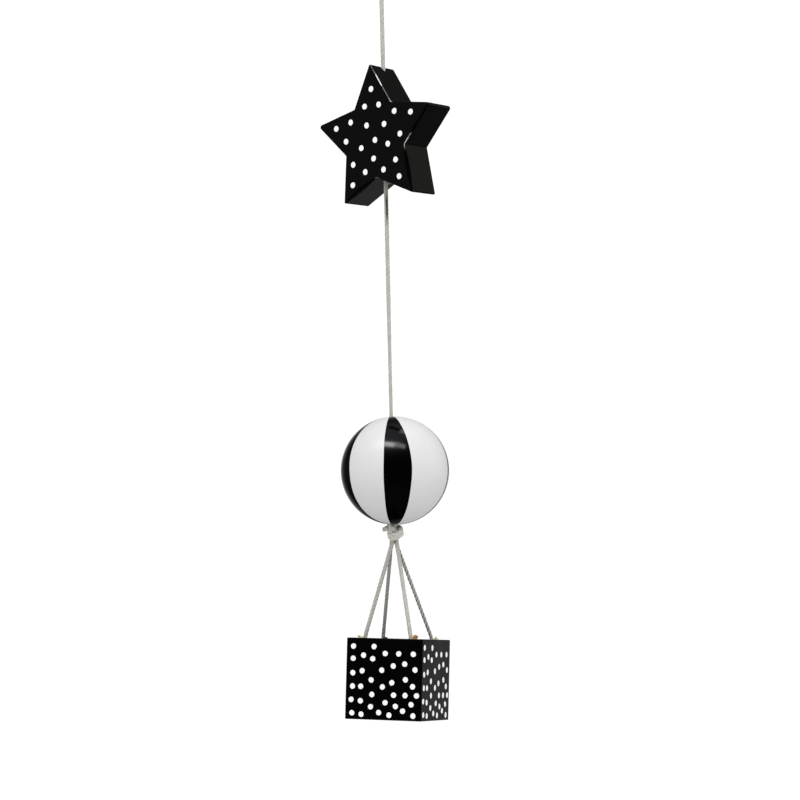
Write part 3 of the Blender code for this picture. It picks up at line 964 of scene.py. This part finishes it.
def pulled_overhand():
    """The line of an overhand knot in a rope 1 thick, pulled tight along Z and centred on the origin.

    It starts as an open trefoil. Each turn draws the line taut and then pushes touching stretches apart.
    """
    t = np.linspace(-TREFOIL_END, TREFOIL_END, 240)
    x, y, z = TREFOIL_SIZES
    open_knot = np.stack([x * (t**4 - 4 * t**2) + x, y * (t**5 - 10 * t), z * (t**3 - 3 * t)], axis=1)
    tails = []
    for end, sign in ((open_knot[0], -1), (open_knot[-1], 1)):
        s = np.linspace(0.05, 1, 30)[:, None]
        tails.append(np.hstack([end[0] * (1 - s) ** 2, end[1] * (1 - s) ** 2, end[2] + sign * s * KNOT_TAIL]))
    line, marks = evened(np.concatenate([tails[0][::-1], open_knot, tails[1]]), count=KNOT_POINTS)
    slack = np.zeros((KNOT_POINTS, KNOT_POINTS))
    for i in range(1, KNOT_POINTS - 1):
        slack[i, i - 1 : i + 2] = (-1, 2, -1)
    one, other = np.triu_indices(KNOT_POINTS, 2)
    for turn in range(KNOT_TURNS):
        if turn % 10 == 0:
            stiffness = KNOT_STIFFNESS[0] * (1 - KNOT_STIFFNESS[1] * turn / KNOT_TURNS)
            taut = np.linalg.inv(np.eye(KNOT_POINTS) + stiffness * slack)
        line = taut @ line
        line[:, :2] -= line[KNOT_POINTS // 3 : -KNOT_POINTS // 3, :2].mean(axis=0) * KNOT_CENTRING
        line[0, :2] = line[-1, :2] = 0
        apart = (other - one) * marks[-1] / (KNOT_POINTS - 1) > KNOT_NEAR
        a, b = one[apart], other[apart]
        for _ in range(KNOT_PUSHES):
            gap = line[b] - line[a]
            near = np.nonzero((gap * gap).sum(axis=1) < 1)[0]
            if not len(near):
                break
            far = np.linalg.norm(gap[near], axis=1)[:, None] + 1e-9
            push = gap[near] * (0.5 * (1 - far) / far)
            moves, times = np.zeros_like(line), np.zeros(KNOT_POINTS)
            for side, sign in ((a[near], -1), (b[near], 1)):
                np.add.at(moves, side, sign * push)
                np.add.at(times, side, 1)
            line += moves / np.maximum(times, 1)[:, None] * KNOT_PUSH
        line, marks = evened(line, count=KNOT_POINTS)
    return line


def smooth_line(line, times):
    line = line.copy()
    for _ in range(times):
        line[1:-1] = 0.25 * line[:-2] + 0.5 * line[1:-1] + 0.25 * line[2:]
    return line


def curve_through(points):
    """A smooth line through a few points."""
    points = [Vector(p) for p in points]
    line = []
    for i in range(len(points) - 1):
        before, a, b, after = (points[min(max(i + k, 0), len(points) - 1)] for k in (-1, 0, 1, 2))
        for k in range(CURVE_STEPS):
            t = k / CURVE_STEPS
            line.append(
                a * (1 + 2 * t) * (1 - t) ** 2 + b * t * t * (3 - 2 * t)
                + (b - before) * 0.5 * t * (1 - t) ** 2 + (after - a) * 0.5 * t * t * (t - 1)
            )
    return line + [points[-1]]


def knot_strands(height, rope, turn, left_handed, off_centre, hidden, pair_half_spacing, cut_end):
    """The two cords of a knot at the origin, as lines that leave side by side at its bottom.

    One comes in at the top on the axis and the other ends in cut_end.
    """
    line = smooth_line(pulled_overhand() * rope, 3)
    if left_handed:
        line[:, 0] *= -1
    line = line @ np.array(Matrix.Rotation(turn, 3, "Z")).T
    reach = height / 2
    line[:, :2] *= 1 + KNOT_FLARE * np.clip(line[:, 2:] / reach, -1, 0.4)
    line[:, 2] *= KNOT_FLATTER
    line += np.array(off_centre) * np.clip(1.6 - np.abs(line[:, 2:]) / reach, 0, 1)
    inside = np.nonzero((line[:, 2] > hidden - reach) & (line[:, 2] < reach + 0.0002))[0]
    line, _ = evened(line[inside[0] : inside[-1] + 1], count=KNOT_STRAND_POINTS)
    flat = unit(np.cross(unit(np.gradient(line, axis=0)), line * np.array([1, 1, 0.7])), 1e-9)
    for i in range(1, len(flat)):
        if flat[i].dot(flat[i - 1]) < 0:
            flat[i] = -flat[i]
    flat = unit(smooth_line(flat, 40))
    if flat[0][0] < 0:
        flat = -flat
    share = np.linspace(0, 1, len(line))[:, None]
    at_bottom = np.clip(1 - share / KNOT_END, 0, 1) ** 2
    at_top = np.clip((share - (1 - KNOT_END)) / KNOT_END, 0, 1) ** 2
    pair = np.array([[pair_half_spacing, 0, 0]]) * at_bottom
    spread = flat * (rope * KNOT_STRAND_OFFSET) * (1 - at_bottom)
    through = line + spread * (1 - at_top) + pair
    through[:, :2] *= 1 - at_top
    ending = (line - spread - pair)[: int(len(line) * KNOT_CUT_FROM)]
    turning = curve_through([ending[-KNOT_CUT_BLEND], ending[-1], *cut_end])
    ending = np.concatenate([ending[:-KNOT_CUT_BLEND], np.array(turning)])
    return [smooth_line(*strand) for strand in zip((through, ending), KNOT_SMOOTHINGS)]


def make_knot(node, cotton, seed, upright, **tied):
    """An overhand knot in two cords, in the place of its CAD node."""
    low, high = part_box(node)
    middle = up((low.z + high.z) / 2)
    place = Matrix.Translation(middle) @ Matrix.Rotation(0 if upright else math.pi, 4, "X")
    tubes = []
    for number, strand in enumerate(knot_strands(high.z - low.z + 2 * GAP, **tied)):
        line = [place @ Vector(p) for p in strand]
        radius = tied["rope"] * KNOT_STRAND_RADIUS
        tubes.append(twisted_tube(line, radius, KNOT_GROOVE, seed + number, phase=1.3 * number))
    tubes += frayed_end(line[-1], line[-1] - line[-6], seed)
    return cord_piece(f"tied_{node}", node, tubes, cotton)


# ------ light, floor and camera

def make_camera():
    data = bpy.data.cameras.new("camera")
    put(data, lens=CAMERA_LENS_MM, sensor_width=CAMERA_SENSOR_MM, clip_start=0.05, clip_end=50.0)
    camera = new_object("camera", data)
    place = Vector((math.sin(CAMERA_AZIMUTH), -math.cos(CAMERA_AZIMUTH), 0)) * CAMERA_DISTANCE
    place.z = CAMERA_Z
    azimuth = math.degrees(CAMERA_AZIMUTH) + CAMERA_PAN_DEGREES
    camera.matrix_world = placed(
        place, (azimuth, "Z"), (90 + CAMERA_PITCH_DEGREES, "X"), (CAMERA_ROLL_DEGREES, "Z")
    )
    bpy.context.scene.camera = camera


def studio_direction(side, elevation):
    """A direction from the strand, by degrees to the right of the camera and degrees above level."""
    a = CAMERA_AZIMUTH - math.pi / 2 + math.radians(side)
    e = math.radians(elevation)
    return Vector((math.cos(a) * math.cos(e), math.sin(a) * math.cos(e), math.sin(e)))


def softbox(name, in_gloss, side, elevation, distance, width, height, radiance, colour=(1, 1, 1)):
    """A lamp that faces the ball, as bright as radiance all over, for gloss or for all else."""
    data = bpy.data.lights.new(name, "AREA")
    energy = radiance * width * height * math.pi
    put(data, shape="RECTANGLE", size=width, size_y=height, energy=energy, color=colour)
    lamp = new_object(name, data)
    away = studio_direction(side, elevation)
    lamp.location = BALL_CENTRE + away * distance
    lamp.rotation_euler = away.to_track_quat("Z", "Y").to_euler()
    lamp.visible_diffuse = not in_gloss
    lamp.visible_glossy = in_gloss


def make_world():
    """White behind everything. The light it gives is even, and what gloss reflects of it is a dim studio."""
    world = bpy.data.worlds.new("studio")
    bpy.context.scene.world = world
    world.use_nodes = True
    world.cycles.sampling_method = "NONE"
    nodes = Nodes(world.node_tree)
    world.node_tree.nodes.clear()
    ray = nodes.add("ShaderNodeLightPath")
    direction = nodes.add("ShaderNodeTexCoord").outputs["Generated"]
    height = nodes.add("ShaderNodeSeparateXYZ", {"Vector": direction}).outputs["Z"]

    def background(colour, strength):
        return nodes.add("ShaderNodeBackground", {"Color": colour, "Strength": strength}).outputs[0]

    def around(side, elevation, stops):
        """A value by the angle from a direction, as (degrees from it, value) stops."""
        axis = {0: direction, 1: tuple(studio_direction(side, elevation))}
        facing = nodes.add("ShaderNodeVectorMath", axis, operation="DOT_PRODUCT").outputs["Value"]
        return nodes.ramp(facing, [(math.cos(math.radians(off)), value) for off, value in reversed(stops)])

    def glow(side, elevation, colour, stops, gap=None):
        """Light from round a direction, less what a gap in it holds back."""
        strength = around(side, elevation, stops)
        if gap:
            strength = nodes.math("MULTIPLY", strength, around(*gap))
        return background((*colour, 1), strength)

    gloss = background((0.011, 0.011, 0.011, 1), 1.0)
    above = ((0, 0.52), (20, 0.47), (30, 0.30), (40, 0.12), (50, 0.04), (65, 0.0))
    behind = ((0, 1.0), (12, 0.75), (20, 0.45), (30, 0.22), (38, 0.10), (48, 0.0))
    below = ((0, 0.0), (12, 0.1), (18, 0.5), (25, 1.0))
    for part in (
        glow(10, 80, (0.88, 0.92, 1.0), above),
        glow(180, 0, (1.0, 1.0, 1.0), behind, gap=(180, -26, below)),
        glow(153, -22, (0.94, 1.0, 0.96), ((0, 0.18), (15, 0.16), (25, 0.09), (36, 0.0))),
        glow(97, 16, (0.93, 1.0, 0.82), ((0, 0.30), (18, 0.24), (35, 0.08), (50, 0.0))),
        glow(-88, 10, (0.90, 1.0, 0.97), ((0, 0.15), (20, 0.12), (40, 0.03), (60, 0.0))),
        glow(0, -62, (1.0, 1.0, 0.95), ((0, 0.04), (20, 0.03), (35, 0.01), (45, 0.0))),
    ):
        gloss = nodes.add("ShaderNodeAddShader", {0: gloss, 1: part}).outputs[0]
    soft = nodes.ramp(height, ((-1.0, 0.98), (-0.4, 0.80), (0.0, 0.82), (1.0, 0.98)))
    even = background(soft, 1.0)
    white = background((1, 1, 1, 1), 1.05)
    lit = nodes.add("ShaderNodeMixShader", {0: ray.outputs["Is Glossy Ray"], 1: even, 2: gloss}).outputs[0]
    seen = {0: ray.outputs["Is Camera Ray"], 1: lit, 2: white}
    nodes.add("ShaderNodeOutputWorld", {"Surface": nodes.add("ShaderNodeMixShader", seen).outputs[0]})


def make_floor():
    """A plain pale floor, well below the strand."""
    shape = bmesh.new()
    bmesh.ops.create_circle(shape, cap_ends=True, segments=96, radius=FLOOR_RADIUS)
    material, nodes, shader, place = new_material("floor_paint")
    tone = nodes.span(nodes.noise(place, 1.5, 2.0), 0.3, 0.7)
    nodes.feed(shader, {
        "Base Color": nodes.mix(tone, (0.94, 0.94, 0.93, 1), (0.96, 0.96, 0.96, 1)),
        "Roughness": 0.9,
        "Emission Color": (1, 1, 1, 1),
        "Emission Strength": 0.2,
    })
    floor = object_of(shape, "floor", [material])
    floor.location = (0, 0, FLOOR_Z)
    floor.visible_glossy = floor.visible_diffuse = False


def make_studio():
    make_world()
    make_floor()
    softbox("key_in_gloss", True, -12, 54, 1.2, 1.25, 0.23, 5.0, (1.0, 0.985, 0.975))
    softbox("bright_key_in_gloss", True, -27, 54, 1.2, 0.72, 0.20, 10.0, (1.0, 0.975, 0.96))
    softbox("corner_in_gloss", True, 90, 70, 1.2, 0.24, 0.55, 2.2, (0.95, 0.92, 1.0))
    softbox("soft_key", False, -5, 54, 1.6, 1.3, 1.3, 2.0)
    softbox("soft_side", False, 78, 18, 1.6, 1.3, 1.3, 0.55)
    put(bpy.context.scene.view_settings, view_transform="Standard", look="None", exposure=0.0, gamma=1.0)


# ------ putting it together

def main():
    make_camera()
    # Copies of one cotton, lighter or darker by painted light: the pale one lighter for the knot in the
    # ball's shade, the copies for strings 1, 2 and 4 darker by painted shade, string 4's with near black
    # painted shade in its creases.
    cottons = {
        "plain": make_cotton("cotton", 1.0, 0.9),
        "dull": make_cotton("little_shaded_cotton", 0.87, 0.85),
        "pale": make_cotton("lit_cotton", 1.3, 0.9),
        "shaded": make_cotton("shaded_cotton", 0.70, 0.65),
        "open": make_cotton("open_shaded_cotton", 0.86, 0.05),
    }
    jet = (0.0007, 0.0007, 0.0006)
    # The black paint's second colour is the pale painted highlight on the star's rim.
    black = make_lacquer("black_paint", jet, (0.85, 0.85, 0.83), 0.14, 0.30, wave=0.00025)
    gore_black = make_lacquer("gore_black", jet, (0.62, 0.62, 0.60), 0.14, 0.30)
    white = make_lacquer("white_paint", (0.69, 0.69, 0.695), (0.70, 0.66, 0.58), 0.34, 0.32, 0.008, 0.000006)
    dots = make_lacquer("dot_print", (0.95, 0.95, 0.95), (0.95, 0.95, 0.95), 0.40, 0.35, 0.005)
    bore_wood = make_bare_wood("bore_wood", (0.24, 0.205, 0.155), (0.12, 0.10, 0.07))
    peg_woods = {
        "pale": make_bare_wood("pale_peg_wood", (0.95, 0.88, 0.60), (0.80, 0.68, 0.38)),
        "amber": make_bare_wood("amber_peg_wood", (0.80, 0.47, 0.16), (0.42, 0.20, 0.05)),
        "dark": make_bare_wood("dark_peg_wood", (0.10, 0.09, 0.07), (0.03, 0.03, 0.025)),
    }

    tube = twisted_tube(loop_route(), CORD_RADIUS, LOOP_GROOVE, seed=3)
    loop = cord_piece("cotton_loop", "hanging_loop", [tube], cottons["plain"])
    loop_knot = make_knot("loop_knot", cottons["plain"], 11, **LOOP_KNOT)
    # Its cotton is lighter by painted light.
    gather_knot = make_knot("gather_knot", cottons["pale"], 21, **GATHER_KNOT)
    gather_knot.visible_glossy = False

    cord_top = up(LOOP_KNOT_BOTTOM_Z - GAP)
    cord_bottom = up(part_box("main_cord")[0].z)
    cord_line = [cord_bottom.lerp(cord_top, i / CORD_STEPS) for i in range(CORD_STEPS + 1)]
    tube = twisted_tube(cord_line, CORD_RADIUS, CORD_GROOVE, seed=5, swells=CORD_SWELLS)
    cord = cord_piece("cotton_cord", "main_cord", [tube], cottons["plain"])
    cord.visible_glossy = False
    # Painted shade on the cord below the star.
    shade_cord_below_star(cord)

    settle(make_star(black, dots, bore_wood), "star")
    settle(make_ball(gore_black, white, bore_wood), "ball")
    settle(make_basket(black, dots, bore_wood), "basket")
    for number, (hole, peg_side, proud, lean, wood, cotton, groove, thickness) in enumerate(STRINGS, start=1):
        route = string_route(hole, peg_side)
        tube = twisted_tube(route, CORD_RADIUS * thickness, groove, seed=30 + number, phase=0.8 * number)
        string = cord_piece(f"cotton_string_{number}", f"basket_string_{number}", [tube], cottons[cotton])
        string.visible_glossy = False
        peg = make_peg(number, hole, peg_side, proud, lean, peg_woods[wood])
        settle(peg, f"string_peg_{number}")
    make_studio()


main()
